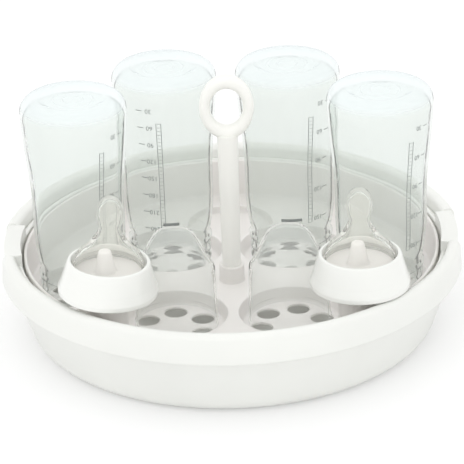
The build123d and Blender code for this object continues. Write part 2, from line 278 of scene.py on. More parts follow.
def whiteMoulding(name, shade, pale, roughness, sheen, glow, spread=0.04):
    # Polypropylene, injection moulded: a soft gloss with a faint orange peel from the polished mould,
    # drawn coarse enough to show, and a wall thin and milky enough that some daylight comes through it.
    # glow is the share of that daylight, and spread is how far the polish varies either way
    material, tree = newMaterial(name)
    spot = addNode(tree, "TexCoord")
    cloud = addNode(tree, "TexNoise", {"Scale": grainScale("cloud"), "Detail": 2},
                    {"Vector": spot.outputs["Object"]})
    colour = addNode(tree, "ValToRGB", {}, {"Fac": cloud.outputs["Fac"]})
    colour.color_ramp.elements[0].position = 0.35
    colour.color_ramp.elements[0].color = linear(shade)
    colour.color_ramp.elements[1].position = 0.65
    colour.color_ramp.elements[1].color = linear(pale)
    peel = addNode(tree, "TexNoise", {"Scale": grainScale("peel"), "Detail": 3},
                   {"Vector": spot.outputs["Object"]})
    polish = addNode(tree, "MapRange", {"To Min": roughness - spread, "To Max": roughness + spread},
                     {"Value": peel.outputs["Fac"]})
    bump = addNode(tree, "Bump", {"Strength": 0.06, "Distance": grainSizes["peelDepth"] * mm},
                   {"Height": peel.outputs["Fac"]})
    shader = addNode(tree, "BsdfPrincipled", {"IOR": 1.49, "Coat Weight": sheen, "Coat Roughness": 0.12},
                     {"Base Color": colour.outputs["Color"], "Roughness": polish.outputs["Result"],
                      "Normal": bump.outputs["Normal"]})
    milky = addNode(tree, "BsdfTranslucent", {}, {"Color": colour.outputs["Color"]})
    both = addNode(tree, "MixShader", {"Fac": glow})
    tree.links.new(shader.outputs["BSDF"], both.inputs[1])
    tree.links.new(milky.outputs["BSDF"], both.inputs[2])
    addNode(tree, "OutputMaterial", {}, {"Surface": both.outputs["Shader"]})
    return material


def clearWall(name, clear, edge, ior, roughness, veil, paintedBaseBrightness=None):
    # A see-through wall: its tint deepens where it is seen edge on, and a thin veil of white lies on it.
    # Its ior is matched to the photograph, where so thin a wall hardly bends what lies behind it, and
    # light on its way to what lies behind passes straight through.
    # The last argument gives a thick base a thicker white veil and a paler colour, from a low to a high level
    # in millimetres. This is painted light, standing in for the brightness that thick glass gathers from
    # round it.
    material, tree = newMaterial(name)
    spot = addNode(tree, "TexCoord")
    ripple = addNode(tree, "TexNoise", {"Scale": grainScale("ripple"), "Detail": 1},
                     {"Vector": spot.outputs["Object"]})
    bump = addNode(tree, "Bump", {"Strength": 0.05, "Distance": grainSizes["rippleDepth"] * mm},
                   {"Height": ripple.outputs["Fac"]})
    slant = addNode(tree, "LayerWeight", {"Blend": 0.25})
    colour = addNode(tree, "ValToRGB", {}, {"Fac": slant.outputs["Facing"]})
    colour.color_ramp.elements[0].position = 0.4
    colour.color_ramp.elements[0].color = linear(clear)
    colour.color_ramp.elements[1].position = 0.98
    colour.color_ramp.elements[1].color = linear(edge)
    tint = colour.outputs["Color"]
    wall = addNode(tree, "BsdfPrincipled",
                   {"IOR": ior, "Roughness": roughness, "Transmission Weight": 1 - veil,
                    "Coat Weight": 0.35, "Coat Roughness": 0.02},
                   {"Normal": bump.outputs["Normal"]})
    # painted light: the thick base is made milkier and paler with height, in place of the brightness thick
    # glass gathers
    if paintedBaseBrightness:
        apart = addNode(tree, "SeparateXYZ", {}, {"Vector": spot.outputs["Object"]})
        rise = addNode(tree, "MapRange", {"From Min": paintedBaseBrightness["low"] * mm, "From Max": paintedBaseBrightness["high"] * mm},
                       {"Value": apart.outputs["Z"]})
        base = addNode(tree, "MixRGB", {"blend_type": "MULTIPLY", "Color2": linear(paintedBaseBrightness["colour"])},
                       {"Fac": rise.outputs["Result"], "Color1": tint})
        tint = base.outputs["Color"]
        clearness = addNode(tree, "MapRange", {"To Min": 1 - veil, "To Max": 1 - paintedBaseBrightness["veil"]},
                            {"Value": rise.outputs["Result"]})
        tree.links.new(clearness.outputs["Result"], wall.inputs["Transmission Weight"])
    tree.links.new(tint, wall.inputs["Base Color"])
    passing = addNode(tree, "BsdfTransparent", {"Color": linear("#FFFFFF")})
    rays = addNode(tree, "LightPath")
    soft = addNode(tree, "Math", {"operation": "MAXIMUM"})
    tree.links.new(rays.outputs["Is Shadow Ray"], soft.inputs[0])
    tree.links.new(rays.outputs["Is Diffuse Ray"], soft.inputs[1])
    both = addNode(tree, "MixShader", {}, {"Fac": soft.outputs["Value"]})
    tree.links.new(wall.outputs["BSDF"], both.inputs[1])
    tree.links.new(passing.outputs["BSDF"], both.inputs[2])
    addNode(tree, "OutputMaterial", {}, {"Surface": both.outputs["Shader"]})
    return material


def printedInk(name, dark, light):
    # Fired ceramic print: matt, and a little uneven where the screen laid it thin
    material, tree = newMaterial(name)
    spot = addNode(tree, "TexCoord")
    patchy = addNode(tree, "TexNoise", {"Scale": grainScale("inkPatch"), "Detail": 2},
                     {"Vector": spot.outputs["Object"]})
    colour = addNode(tree, "ValToRGB", {}, {"Fac": patchy.outputs["Fac"]})
    colour.color_ramp.elements[0].color = linear(dark)
    colour.color_ramp.elements[1].color = linear(light)
    shader = addNode(tree, "BsdfPrincipled", {"Roughness": 0.6}, {"Base Color": colour.outputs["Color"]})
    addNode(tree, "OutputMaterial", {}, {"Surface": shader.outputs["BSDF"]})
    return material


bottleTop = nodeCorners("bottle_left")[1][2]
# painted light on the bottle's thick base: a heavier white veil and paler colour towards the base, in place
# of the brightness thick glass gathers
bottleBasePaintedLight = {"veil": 0.4, "colour": "#F9FCFF", "low": bottleTop - 9, "high": bottleTop - 3}
bowlPlastic = whiteMoulding("bowlPolypropylene", shade="#F1F2EE", pale="#F4F5F1",
                            roughness=0.30, sheen=0.2, glow=0.15)
basketPlastic = whiteMoulding("basketPolypropylene", shade="#F5F3EF", pale="#F8F6F3",
                              roughness=0.34, sheen=0.1, glow=0.22)
handlePlastic = whiteMoulding("handlePolypropylene", shade="#F2F2ED", pale="#F5F5F0",
                              roughness=0.32, sheen=0.1, glow=0.05)
collarPlastic = whiteMoulding("collarPolypropylene", shade="#EAEBE7", pale="#EDEEEA",
                              roughness=0.22, sheen=0.4, glow=0.05)
bottleGlass = clearWall("borosilicateGlass", clear="#F3F6F4", edge="#E2E7E5",
                        ior=1.03, roughness=0.0, veil=0.08, paintedBaseBrightness=bottleBasePaintedLight)
hoodPlastic = clearWall("clearPolypropylene", clear="#F9FAF9", edge="#E2E6E4",
                        ior=1.035, roughness=0.02, veil=0.06)
teatSilicone = clearWall("clearSilicone", clear="#FAFAF7", edge="#DCDED8",
                         ior=1.05, roughness=0.05, veil=0.07)
scaleInk = printedInk("greyScaleInk", dark="#7C817F", light="#949997")
print("materials ready")


# Bowl

basketLean = 0.9  # how far the tray's wall leans in between its rim and its floor

bowlSizes = {
    "flatRing": 60.0, "footRounding": 12.0, "footInset": 19.2, "wall": 3.0,
    "sideTopInset": 5.9, "sideTopRounding": 0.8, "bandHeight": 19.7, "bandLean": 1.1, "bandRounding": 2.5,
    "beadWidth": 8.0, "beadRounding": 3.95, "grooveWidth": 0.9, "grooveDepth": 10.2, "grooveRounding": 0.3,
    "ridgeWidth": 3.2, "ridgeDrop": 7.7, "ridgeRounding": 1.55,
    "lipDrop": 5.5, "lipRounding": 0.6, "lipUndercut": 2.0, "undercutRounding": 1.0,
    "landCut": 3.1, "landDrop": 1.2, "landHalfAngle": 9.6, "cutOut": 8, "cutIn": 3, "cutUp": 6, "cutDown": 1,
    "fillGap": 0.05, "fillInset": 2.0, "fillRise": 1.5, "fillProud": 0.6, "fillShort": 0.02,
    "restReach": 4.5, "restDepth": 9.0, "restWidth": 12.0, "restNose": 2.0, "restGap": 0.3,
    "restAngles": (40, 90, 140, 220, 270, 320), "softEdge": 0.7, "sharpAngle": 50,
}


def makeBowl(sizes):
    outer = nodeRadius("bowl")
    top = nodeCorners("bowl")[1][2]
    bandLow = top - sizes["bandHeight"]
    sideTop = outer - sizes["sideTopInset"]
    foot = outer - sizes["footInset"]
    lean = (sideTop - foot) / bandLow
    wall = sizes["wall"]
    flat = sizes["flatRing"]
    beadOuter = outer - sizes["bandLean"]
    beadInner = beadOuter - sizes["beadWidth"]
    ridgeOuter = beadInner - sizes["grooveWidth"]
    mouth = ridgeOuter - sizes["ridgeWidth"]
    grooveFloor = top - sizes["grooveDepth"]
    ridgeTop = top - sizes["ridgeDrop"]
    lipUnder = ridgeTop - sizes["lipDrop"]
    lipBack = lipUnder - sizes["lipUndercut"]
    outline = roundCorners([
        (0, 0), (flat, 0), (foot, 0, sizes["footRounding"]), (sideTop, bandLow, sizes["sideTopRounding"]),
        (outer, bandLow, sizes["bandRounding"]),
        (beadOuter, top, sizes["beadRounding"]), (beadInner, top, sizes["beadRounding"]),
        (beadInner, grooveFloor, sizes["grooveRounding"]), (ridgeOuter, grooveFloor, sizes["grooveRounding"]),
        (ridgeOuter, ridgeTop, sizes["ridgeRounding"]), (mouth, ridgeTop, sizes["ridgeRounding"]),
        (mouth, lipUnder, sizes["lipRounding"]),
        (foot + lean * lipBack - wall, lipBack, sizes["undercutRounding"]),
        (foot - wall * (1 - lean), wall, sizes["footRounding"] - wall), (flat, wall), (0, wall),
    ], cuts=6)
    bowl = turnOutline("bowlShell", outline)
    half = sizes["landHalfAngle"]
    landOuter = outer - sizes["landCut"]
    landTop = top - sizes["landDrop"]
    cutInner, cutOuter = mouth - sizes["cutIn"], outer + sizes["cutOut"]
    cutLow, cutTop = bandLow - sizes["cutDown"], top + sizes["cutUp"]
    # The filling has no face flush with one of the bowl's or of the cutter's, so that every run cuts alike
    for side in (0, 180):
        filling = ringBlock(mouth + sizes["fillGap"], landOuter - sizes["fillInset"],
                            lipUnder + sizes["fillRise"], landTop + sizes["fillProud"],
                            side, half - sizes["fillShort"])
        combine(bowl, filling, "UNION")
        cutter = partTurn("landCutter", [
            (cutInner, landTop), (landOuter, landTop), (landOuter, cutLow),
            (cutOuter, cutLow), (cutOuter, cutTop), (cutInner, cutTop)], side, half)
        combine(bowl, cutter, "DIFFERENCE")
    basketLow, basketHigh = nodeCorners("basket")
    restTop = basketLow[2] - sizes["restGap"]
    restFoot = restTop - sizes["restDepth"]
    restInner = (basketHigh[0] - basketLow[0]) / 2 - basketLean - sizes["restReach"]
    inWall = foot - wall / 2
    rests = []
    for angle in sizes["restAngles"]:
        rests.append(flatBlock([
            (restInner, restTop), (inWall + lean * restTop, restTop), (inWall + lean * restFoot, restFoot),
            (restInner, restTop - sizes["restNose"])], sizes["restWidth"], angle))
    combine(bowl, joinLoose(rests), "UNION")
    applyModifier(bowl, "BEVEL", width=sizes["softEdge"] * mm, segments=3,
                  limit_method="ANGLE", angle_limit=math.radians(sizes["sharpAngle"]))
    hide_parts("bowl")
    return finishPiece(bowl, "bowlShell", "bowl", bowlPlastic)


makeBowl(bowlSizes)
print("bowl ready")


# Basket: the tray, its wells and back seat, and the pegs

wells = ("well_left", "well_right", "well_back_left", "well_back_right",
         "well_front_left", "well_front_right")

basketSizes = {
    "wall": 2.0, "floorThickness": 2.0, "underRing": 60.0, "floorRings": (100.0, 60.0, 30.0),
    "underRounding": 1.5, "rimRounding": 0.95, "floorRounding": 2.0,
    "bossWall": 2.3, "bossTop": 11.0, "bossFootRounding": 0.6, "bossTopRounding": 0.8,
    "postBore": 5.5, "boreDepth": 9.5, "boreRounding": 0.4,
    "windowInner": 58.0, "windowRimGap": 4.2, "windowAngles": (20, 64), "windowSteps": 24,
    "wellMargin": 1.2, "pegRadius": 12.0, "pegMargin": 2.0, "pegSteps": 48,
    "ribWidth": 9.0, "tabWidth": 14.4, "tabLength": 17.5, "tabOverlap": 5.0,
    "windowCutPast": 2, "wellCutPast": 5, "cutLow": 10, "cutHigh": 40,
}
wellSizes = {
    "wall": 1.8, "flare": 2.0, "flatRing": 9.0,
    "mouthRounding": 0.9, "floorRounding": 1.6, "footRounding": 1.5,
    "drains": 6, "drainRadius": 7.0, "drainCircle": 19.3, "drainChamfer": 0.5, "drainSoftening": 0.15,
    "drillBelow": 2, "drillAbove": 1, "drillProud": 0.02, "drillSteps": 36, "turn": 30, "frontRightTurn": 16,
    "seatWall": 1.8, "seatRounding": 1.2, "seatFootRounding": 1.0, "seatMouthRounding": 0.6, "biteAbove": 0.5,
}
pegSizes = {
    "radius": 12.0, "bore": 10.0, "boreDrop": 6.0, "headHeight": 27.0, "flareRounding": 4.0,
    "shoulderHeight": 14.0, "shoulderThickness": 3.0, "shoulderUnderRounding": 1.0, "shoulderRounding": 0.8,
    "tipFoot": 6.5, "tipFootRounding": 1.5, "tip": 3.6, "tipRounding": 1.8, "tipWall": 1.6,
    "tipInsideRounding": 1.0,
}


def makeWindowCutter(side, sizes, floor, outer):
    first, last = sizes["windowAngles"]
    middle = (first + last) / 2
    name = "left" if side < 0 else "right"
    low, high = sizes["cutLow"], sizes["cutHigh"]
    past = sizes["windowCutPast"]
    cutter = ringBlock(sizes["windowInner"], outer, floor - sizes["floorThickness"] - past, floor + past,
                       -middle if side > 0 else 180 + middle, (last - first) / 2, steps=sizes["windowSteps"])
    for well in ("well_" + name, "well_front_" + name):
        x, y = nodeMiddle(well)[:2]
        combine(cutter, disc(nodeRadius(well) + sizes["wellMargin"], low, high, x, y), "DIFFERENCE")
    x, y = nodeMiddle("peg_" + name)[:2]
    reach = math.hypot(x, y)
    angle = math.degrees(math.atan2(y, x))
    # The rib and the tab run past each other inside the peg's ring, so that no two faces lie flush
    ribEnd = reach + sizes["tabOverlap"]
    rib = flatBlock([(0, low), (ribEnd, low), (ribEnd, high), (0, high)], sizes["ribWidth"], angle)
    combine(cutter, rib, "DIFFERENCE")
    start, end = reach - sizes["tabOverlap"], reach + sizes["tabLength"]
    tab = flatBlock([(start, low), (end, low), (end, high), (start, high)], sizes["tabWidth"], angle)
    combine(cutter, tab, "DIFFERENCE")
    pegRing = disc(sizes["pegRadius"] + sizes["pegMargin"], low, high, x, y, steps=sizes["pegSteps"])
    combine(cutter, pegRing, "DIFFERENCE")
    return cutter


def makeTray(sizes):
    low, high = nodeCorners("basket")
    rimOuter = (high[0] - low[0]) / 2
    rimTop = high[2]
    under = low[2]
    wall = sizes["wall"]
    floor = under + sizes["floorThickness"]
    floorOuter = rimOuter - basketLean
    bore = sizes["postBore"]
    boss = bore + sizes["bossWall"]
    bossTop = floor + sizes["bossTop"]
    boreFloor = bossTop - sizes["boreDepth"]
    outline = roundCorners([
        (0, under), (sizes["underRing"], under), (floorOuter, under, sizes["underRounding"]),
        (rimOuter, rimTop, sizes["rimRounding"]), (rimOuter - wall, rimTop, sizes["rimRounding"]),
        (floorOuter - wall, floor, sizes["floorRounding"]), *[(ring, floor) for ring in sizes["floorRings"]],
        (boss, floor, sizes["bossFootRounding"]), (boss, bossTop, sizes["bossTopRounding"]),
        (bore, bossTop, sizes["boreRounding"]), (bore, boreFloor), (0, boreFloor)])
    tray = turnOutline("basketTray", outline)
    cutLow = under - sizes["wellCutPast"]
    cutHigh = floor + sizes["wellCutPast"]
    for well in wells:
        x, y = nodeMiddle(well)[:2]
        combine(tray, disc(nodeRadius(well), cutLow, cutHigh, x, y), "DIFFERENCE")
    seatLow, seatHigh = nodeCorners("back_seat")
    seatRadius = (seatHigh[0] - seatLow[0]) / 2
    combine(tray, disc(seatRadius, cutLow, cutHigh, 0, seatHigh[1] - seatRadius), "DIFFERENCE")
    windowOuter = floorOuter - wall - sizes["windowRimGap"]
    for side in (-1, 1):
        combine(tray, makeWindowCutter(side, sizes, floor, windowOuter), "DIFFERENCE")
    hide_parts("basket")
    return finishPiece(tray, "basketTray", "basket", basketPlastic)


def wellForm(sizes, radius, low, high, under):  # the outside of a cup, filled
    foot = radius - sizes["flare"]
    outline = [(0, low), (foot, low), (radius, under), (radius, high), (0, high)]
    return turnOutline("wellForm", outline, steps=partSteps)


def makeWells(sizes):
    low, high = nodeCorners("well_left")
    bottom, top = low[2], high[2]
    radius = nodeRadius("well_left")
    under = nodeCorners("basket")[0][2]
    wall = sizes["wall"]
    flat = sizes["flatRing"]
    mouth = radius - wall
    foot = mouth - sizes["flare"]
    floor = bottom + wall
    well = turnOutline("wellCup", roundCorners([
        (0, bottom), (flat, bottom), (foot + wall, bottom, sizes["footRounding"]), (radius, under),
        (radius, top), (mouth, top, sizes["mouthRounding"]), (foot, floor, sizes["floorRounding"]),
        (flat, floor), (0, floor)],
        cuts=4), steps=partSteps)
    hole = sizes["drainRadius"]
    wide = hole + sizes["drainChamfer"]
    soft = sizes["drainSoftening"]
    drillLow = bottom - sizes["drillBelow"]
    drillHigh = floor + sizes["drillAbove"]
    drill = turnOutline("drainDrill", [
        (0, drillLow), (wide, drillLow), (wide, bottom), (hole, bottom + sizes["drainChamfer"]),
        (hole, floor - sizes["drainChamfer"]), (hole + soft, floor - soft),
        (wide, floor + sizes["drillProud"]), (wide, drillHigh), (0, drillHigh)], steps=sizes["drillSteps"])
    drills = []
    for step in range(sizes["drains"]):
        angle = math.tau * step / sizes["drains"]
        drills.append(movePiece(copyPiece(drill), sizes["drainCircle"] * math.cos(angle),
                                sizes["drainCircle"] * math.sin(angle)))
    bpy.data.objects.remove(drill)
    combine(well, joinLoose(drills), "DIFFERENCE")
    for node in wells:
        x, y = nodeMiddle(node)[:2]
        cup = copyPiece(well)
        turn = sizes["frontRightTurn"] if node == "well_front_right" else sizes["turn"]
        cup.rotation_euler.z = math.radians(turn)
        applyPlace(cup)
        movePiece(cup, x, y)
        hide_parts(node)
        finishPiece(cup, node + "_cup", "basket", basketPlastic)
    bpy.data.objects.remove(well)


def makeSeat(sizes):
    low, high = nodeCorners("back_seat")
    bottom, top = low[2], high[2]
    outer = (high[0] - low[0]) / 2
    inner = outer - sizes["seatWall"]
    floor = bottom + sizes["seatWall"]
    flat = sizes["flatRing"]
    seat = turnOutline("seatCup", roundCorners([
        (0, bottom), (outer, bottom, sizes["seatFootRounding"]), (outer, top),
        (inner, top, sizes["seatMouthRounding"]), (inner, floor, sizes["seatRounding"]),
        (flat, floor), (0, floor)], cuts=4), steps=partSteps)
    movePiece(seat, 0, high[1] - outer)
    under = nodeCorners("basket")[0][2]
    for well in ("well_back_left", "well_back_right"):
        x, y = nodeMiddle(well)[:2]
        wellLow, wellHigh = nodeCorners(well)
        form = wellForm(sizes, nodeRadius(well), wellLow[2], wellHigh[2] + sizes["biteAbove"], under)
        combine(seat, movePiece(form, x, y), "DIFFERENCE")
    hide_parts("back_seat")
    return finishPiece(seat, "back_seat_cup", "basket", basketPlastic)


def makePegs(sizes):
    for name in ("left", "right"):
        nodes = ["peg_" + name, "peg_seat_" + name]
        low, high = nodeCorners(*nodes)
        x, y = nodeMiddle(*nodes)[:2]
        bottom, top = low[2], high[2]
        shoulder = nodeRadius(nodes[-1])
        flare = top - sizes["headHeight"]
        shoulderTop = top - sizes["shoulderHeight"]
        shoulderLow = shoulderTop - sizes["shoulderThickness"]
        tipFoot, tip, tipWall = sizes["tipFoot"], sizes["tip"], sizes["tipWall"]
        peg = turnOutline("pegPost", roundCorners([
            (sizes["bore"], bottom), (sizes["radius"], bottom),
            (sizes["radius"], flare, sizes["flareRounding"]),
            (shoulder, shoulderLow, sizes["shoulderUnderRounding"]),
            (shoulder, shoulderTop, sizes["shoulderRounding"]),
            (tipFoot, shoulderTop, sizes["tipFootRounding"]), (tip, top, sizes["tipRounding"]),
            (0, top), (0, top - tipWall), (tip - tipWall, top - tipWall, sizes["tipInsideRounding"]),
            (tipFoot - tipWall, shoulderTop - tipWall), (sizes["bore"], shoulderTop - sizes["boreDrop"])]),
            steps=partSteps)
        movePiece(peg, x, y)
        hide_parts(*nodes)
        finishPiece(peg, "peg_" + name + "_post", "basket", basketPlastic)


makeTray(basketSizes)
makeWells(wellSizes)
makeSeat(wellSizes)
makePegs(pegSizes)
print("basket ready")


# Handle

handleSizes = {
    "foot": 5.5, "footDepth": 9.5, "low": 5.7, "high": 6.4, "postPeak": 1.5, "postSteps": 72,
    "ringHeight": 41.0, "ringHalfDepth": 4.5, "bandWidth": 6.6, "ringRounding": 3.1, "ringJoin": 2.5,
}


def makeHandle(sizes):
    low, high = nodeCorners("handle")
    bottom, top = low[2], high[2]
    ringOuter = (high[0] - low[0]) / 2
    ringMiddle = top - sizes["ringHeight"] / 2
    stretch = sizes["ringHeight"] / 2 / ringOuter
    depth = sizes["ringHalfDepth"]
    sleeve = bottom + sizes["footDepth"]
    postTop = top - sizes["ringHeight"] + sizes["ringJoin"]
    post = turnOutline("liftingPost", [
        (0, bottom), (sizes["foot"], bottom), (sizes["foot"], sleeve), (sizes["low"], sleeve),
        (sizes["high"], postTop), (0, postTop + sizes["postPeak"])], steps=sizes["postSteps"])
    hole = ringOuter - sizes["bandWidth"]
    rounding = sizes["ringRounding"]
    ring = turnOutline("fingerRing", roundCorners([
        (hole, -depth, rounding), (ringOuter, -depth, rounding), (ringOuter, depth, rounding),
        (hole, depth, rounding)], cuts=6), steps=partSteps)
    ring.rotation_euler.x = math.pi / 2
    applyPlace(ring)
    ring.scale.z = stretch
    ring.location.z = ringMiddle * mm
    applyPlace(ring)
    combine(post, ring, "UNION")
    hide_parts("handle")
    return finishPiece(post, "liftingHandle", "basket", handlePlastic)


makeHandle(handleSizes)
print("handle ready")


# Bottles, mouth down, with their mouth at height 0

bottleSizes = {
    "glass": 2.4, "neck": 24.4, "mouthRounding": 1.1, "neckInside": 22.0, "threadLevels": (3.4, 9.6),
    "thread": [(0, 0, 0.3), (1.2, 0.6, 0.5), (1.2, 2.0, 0.5), (0, 2.6, 0.3)],
    "beadLevel": 16.8, "bead": [(0, 0, 0.5), (2.0, 0.7, 0.7), (2.0, 2.4, 0.7)],
    "side": [(24.6, 20.0), (26.2, 27.5), (27.4, 36.0), (28.0, 45.0), (28.1, 60.0), (28.3, 71.0),
             (28.9, 81.0), (30.1, 93.0), (31.3, 106.0), (32.2, 118.0)],
    "heelRounding": 8.0, "heelStraight": 9.0, "base": 5.5, "baseInside": 9.0, "insideRounding": 6.0,
    "insideStraight": 10.0, "puntRadius": 17.0, "puntDepth": 2.4, "puntSlope": 4.5, "puntRounding": 3.0,
    "baseRings": (12.2, 6.2), "baseRing": [(0.8, 0, 0.8), (0, 0.5, 0.5), (-0.8, 0, 0.8)], "steps": 128,
}
markSizes = {
    "proud": 0.06, "lineWidth": 0.35, "lineGap": 2.6, "low": 35.0, "high": 108.0,
    "rungStep": 2.5, "rungHeight": 0.24, "rungMargin": 0.4, "bendMargin": 0.2,
    "columnLow": 28.0, "columnHigh": 116.0, "tickWidth": 4.0, "tickHeight": 0.45,
    "numberHeight": 3.0, "fontPerHeight": 1.4, "numberAngle": 11, "perNumber": 30,
    "barLevel": 37.0, "barHeight": 2.0,
}
bottleMarks = {  # angles about the bottle, step between the numbers, and the bar's angle and width
    "bottle_left": {"ruler": -57, "column": -30, "step": 19.6},
    "bottle_back_left": {"ruler": -97, "column": -119, "step": 11.6, "bar": -87, "barWidth": 10.0},
    "bottle_back_right": {"ruler": -65, "column": -42, "step": 19.6, "bar": -90, "barWidth": 13.0},
    "bottle_right": {"ruler": -57, "column": -36, "step": 19.6},
}


def bottleSide(sizes, height, heel):  # the outside of the bottle above its bead
    return flowLine(sizes["side"] + [(heel, height - sizes["heelStraight"])])


def neckCorners(sizes):  # down the inside of the neck, round its mouth and up to its bead
    neck = sizes["neck"]
    inside = neck - sizes["glass"]
    rounding = sizes["mouthRounding"]
    corners = [(inside, sizes["neckInside"]), (inside, 0, rounding), (neck, 0, rounding)]
    for level in sizes["threadLevels"]:
        corners += around(neck, level, sizes["thread"])
    return corners + around(neck, sizes["beadLevel"], sizes["bead"])


def baseCorners(sizes, height, heel):  # over the heel and into the hollow base with its two rings
    punt = height - sizes["puntDepth"]
    corners = [
        (heel, height, sizes["heelRounding"]),
        (sizes["puntRadius"] + sizes["puntSlope"], height, sizes["puntRounding"]),
        (sizes["puntRadius"], punt, sizes["puntRounding"])]
    for radius in sizes["baseRings"]:
        corners += around(radius, punt, sizes["baseRing"])
    return corners + [(0, punt)]


def makeBottle(sizes, height, heel):
    glass = sizes["glass"]
    inside = height - sizes["puntDepth"] - sizes["base"]
    innerSide = [(radius - glass, level) for radius, level in sizes["side"]]
    innerSide[0] = (sizes["neck"] - glass, sizes["neckInside"])
    innerHeel = heel - glass
    outline = roundCorners([
        (0, inside), (sizes["baseInside"], inside), (innerHeel, inside, sizes["insideRounding"]),
        (innerHeel, inside - sizes["insideStraight"])], cuts=6)[:-1]
    outline += flowLine(innerSide[::-1])
    outline += roundCorners(neckCorners(sizes) + [sizes["side"][0]], cuts=3)[1:-1]
    outline += bottleSide(sizes, height, heel)
    outline += roundCorners([outline[-1]] + baseCorners(sizes, height, heel), cuts=6)[1:]
    return turnOutline("bottleBody", outline, steps=sizes["steps"])


def makeNumber(sizes, value, radius, level, angle):
    leaveEdit()
    bpy.ops.object.select_all(action="DESELECT")
    bpy.ops.object.text_add()
    text = bpy.context.object
    text.data.body = str(value)
    text.data.size = sizes["numberHeight"] * sizes["fontPerHeight"] * mm
    text.data.align_x = "CENTER"
    text.data.align_y = "CENTER"
    text.data.extrude = sizes["proud"] * mm
    text.data.resolution_u = 3
    bpy.ops.object.convert(target="MESH")
    number = bpy.context.object
    number.rotation_euler = (math.pi / 2, math.pi, 0)  # head down, as the bottle is
    applyPlace(number)
    number.rotation_euler.z = math.radians(90 + angle)
    turn = math.radians(angle)
    return movePiece(number, radius * math.cos(turn), radius * math.sin(turn), level)


def makeMarks(sizes, line, place):  # a ruler of two lines and its rungs, and a column of ticks and numbers
    def radiusAt(level):
        for lower, upper in zip(line, line[1:]):
            if lower[1] <= level <= upper[1]:
                share = (level - lower[1]) / (upper[1] - lower[1])
                return lower[0] + share * (upper[0] - lower[0])
        return line[-1][0]

    def strip(low, high, angle, width):
        margin = sizes["bendMargin"]
        bends = [point[1] for point in line if low + margin < point[1] < high - margin]
        levels = [low] + bends + [high]
        outer = [(radiusAt(level) + sizes["proud"], level) for level in levels]
        inner = [(radiusAt(level) - sizes["proud"], level) for level in levels]
        half = math.degrees(width / 2 / radiusAt(low))
        return partTurn("scaleMark", outer + inner[::-1], angle, half, steps=max(1, round(width)))

    marks = []
    gapAngle = math.degrees(sizes["lineGap"] / 2 / radiusAt(sizes["low"]))
    for side in (-1, 1):
        marks.append(strip(sizes["low"], sizes["high"], place["ruler"] + side * gapAngle, sizes["lineWidth"]))
    level = sizes["low"]
    half = sizes["rungHeight"] / 2
    rungWidth = sizes["lineGap"] - sizes["lineWidth"] - sizes["rungMargin"]
    while level < sizes["high"]:
        marks.append(strip(level - half, level + half, place["ruler"], rungWidth))
        level += sizes["rungStep"]
    level = sizes["columnHigh"]
    half = sizes["tickHeight"] / 2
    value = sizes["perNumber"]
    toNumber = sizes["numberAngle"] if place["column"] < place["ruler"] else -sizes["numberAngle"]
    while level > sizes["columnLow"]:
        marks.append(strip(level - half, level + half, place["column"], sizes["tickWidth"]))
        marks.append(makeNumber(sizes, value, radiusAt(level), level, place["column"] + toNumber))
        level -= place["step"]
        value += sizes["perNumber"]
    if "bar" in place:
        low = sizes["barLevel"]
        marks.append(strip(low, low + sizes["barHeight"], place["bar"], place["barWidth"]))
    return joinLoose(marks)


def makeBottles(sizes, marks, places):
    low, high = nodeCorners("bottle_left")
    height = high[2] - low[2]
    heel = nodeRadius("bottle_left")
    bottle = makeBottle(sizes, height, heel)
    line = bottleSide(sizes, height, heel)
    for node, place in places.items():
        x, y = nodeMiddle(node)[:2]
        copy = movePiece(copyPiece(bottle), x, y, low[2])
        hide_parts(node)
        finishPiece(copy, node + "_glass", node, bottleGlass, angle=50)
        scale = movePiece(makeMarks(marks, line, place), x, y, low[2])
        finishPiece(scale, node + "_scale", node, scaleInk)
    bpy.data.objects.remove(bottle)


makeBottles(bottleSizes, markSizes, bottleMarks)
print("bottles ready")


# Hoods, open end down

hoodSizes = {
    "wall": 1.6, "shoulderStep": 1.4, "shoulderHeight": 38.0, "top": 14.0, "mouthRounding": 0.7,
    "lip": [(0, 0, 0.7), (0, 2.8, 0.4), (-0.7, 3.4, 0.4)],
    "shoulder": [(0, -1, 1.5), (-1.4, 1.5, 2.0)], "shoulderInside": [(-1.4, 1, 1.5), (0, -1.4, 1.2)],
    "crown": [(1.0, -4, 2.0), (-2.0, 0, 2.0)], "crownInside": [(-2.8, 0, 1.2), (-0.6, -3, 1.5)],
    "steps": 112,
}


def makeHoods(sizes):
    low, high = nodeCorners("hood_left")
    height = high[2] - low[2]
    lip = nodeRadius("hood_left")
    wall = sizes["wall"]
    top = sizes["top"]
    shoulder = lip - sizes["shoulderStep"]
    shoulderHeight = sizes["shoulderHeight"]
    outline = roundCorners(
        [(lip - wall, 0, sizes["mouthRounding"])] + around(lip, 0, sizes["lip"])
        + around(shoulder, shoulderHeight, sizes["shoulder"]) + around(top, height, sizes["crown"])
        + [(0, height), (0, height - wall)] + around(top, height - wall, sizes["crownInside"])
        + around(shoulder - wall, shoulderHeight, sizes["shoulderInside"]), cuts=4)
    hood = turnOutline("hoodBody", outline, steps=sizes["steps"])
    for node in ("hood_left", "hood_right"):
        x, y = nodeMiddle(node)[:2]
        copy = movePiece(copyPiece(hood), x, y, low[2])
        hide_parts(node)
        finishPiece(copy, node + "_shell", node, hoodPlastic, angle=40)
    bpy.data.objects.remove(hood)


makeHoods(hoodSizes)
print("hoods ready")


# Collars and teats

